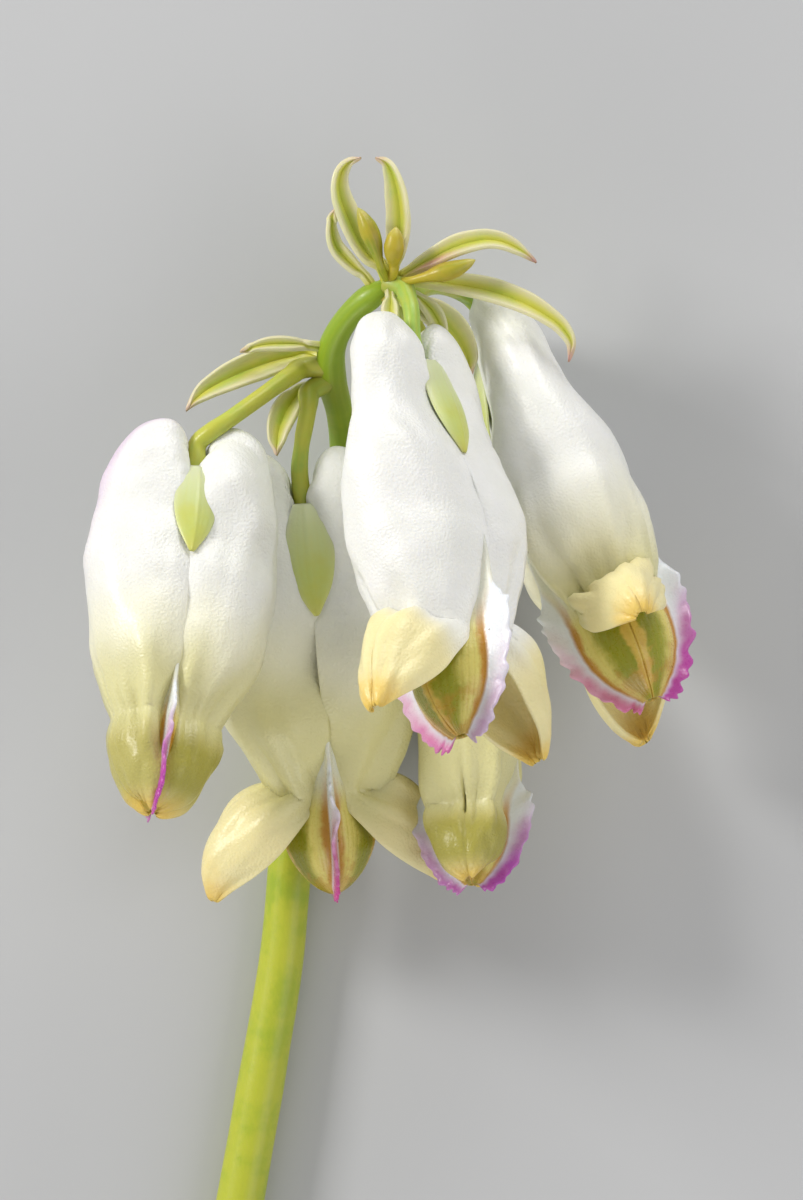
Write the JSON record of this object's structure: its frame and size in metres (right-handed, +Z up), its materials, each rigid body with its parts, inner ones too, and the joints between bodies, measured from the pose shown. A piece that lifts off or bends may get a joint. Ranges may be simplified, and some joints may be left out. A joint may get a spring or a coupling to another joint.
{
  "type": "bleeding heart flower stem",
  "caption": "Picked flowering stem of white bleeding heart, lying down: pouched flowers with turned-out cream lips and pink-edged crests hang from an arched green stem with narrow bracts.",
  "frame": {"origin": "middle of the underside of the whole lying stem, on the surface it rests on", "axes": "+Y along the stem from its cut end to its flowering head, +Z up off the surface, +X to the right seen from above with the head at the top"},
  "size_m": [0.0278, 0.0632, 0.0226],
  "materials": {
    "outer_petal": "satin",
    "inner_petal": "satin",
    "sepal": "satin",
    "stalk": "satin",
    "stem": "satin",
    "bract": "satin",
    "bud": "satin"
  },
  "bodies": {
    "root": {"stem": "stem", "front_flower_stalk": "stalk", "front_flower_outer_petal_left": "outer_petal", "front_flower_outer_petal_right": "outer_petal", "front_flower_inner_petal_front": "inner_petal", "front_flower_inner_petal_back": "inner_petal", "front_flower_sepal_front": "sepal", "front_flower_sepal_back": "sepal", "left_flower_stalk": "stalk", "left_flower_outer_petal_left": "outer_petal", "left_flower_outer_petal_right": "outer_petal", "left_flower_inner_petal_front": "inner_petal", "left_flower_inner_petal_back": "inner_petal", "left_flower_sepal_front": "sepal", "left_flower_sepal_back": "sepal", "right_flower_stalk": "stalk", "right_flower_outer_petal_left": "outer_petal", "right_flower_outer_petal_right": "outer_petal", "right_flower_inner_petal_front": "inner_petal", "right_flower_inner_petal_back": "inner_petal", "right_flower_sepal_front": "sepal", "right_flower_sepal_back": "sepal", "middle_flower_stalk": "stalk", "middle_flower_outer_petal_left": "outer_petal", "middle_flower_outer_petal_right": "outer_petal", "middle_flower_inner_petal_front": "inner_petal", "middle_flower_inner_petal_back": "inner_petal", "middle_flower_sepal_front": "sepal", "middle_flower_sepal_back": "sepal", "rear_flower_stalk": "stalk", "rear_flower_outer_petal_left": "outer_petal", "rear_flower_outer_petal_right": "outer_petal", "rear_flower_inner_petal_front": "inner_petal", "rear_flower_inner_petal_back": "inner_petal", "rear_flower_sepal_front": "sepal", "rear_flower_sepal_back": "sepal", "top_bract_left_curl": "bract", "top_bract_right_curl": "bract", "top_bract_low_curl": "bract", "right_bract_upper": "bract", "right_bract_lower": "bract", "right_bract_broad": "bract", "front_bract_left": "bract", "front_bract_right": "bract", "left_bract_short": "bract", "left_bract_broad": "bract", "left_bract_hanging": "bract", "top_bud_green": "bud", "top_bud_golden": "bud", "right_bud": "bud"}
  },
  "joints": []
}
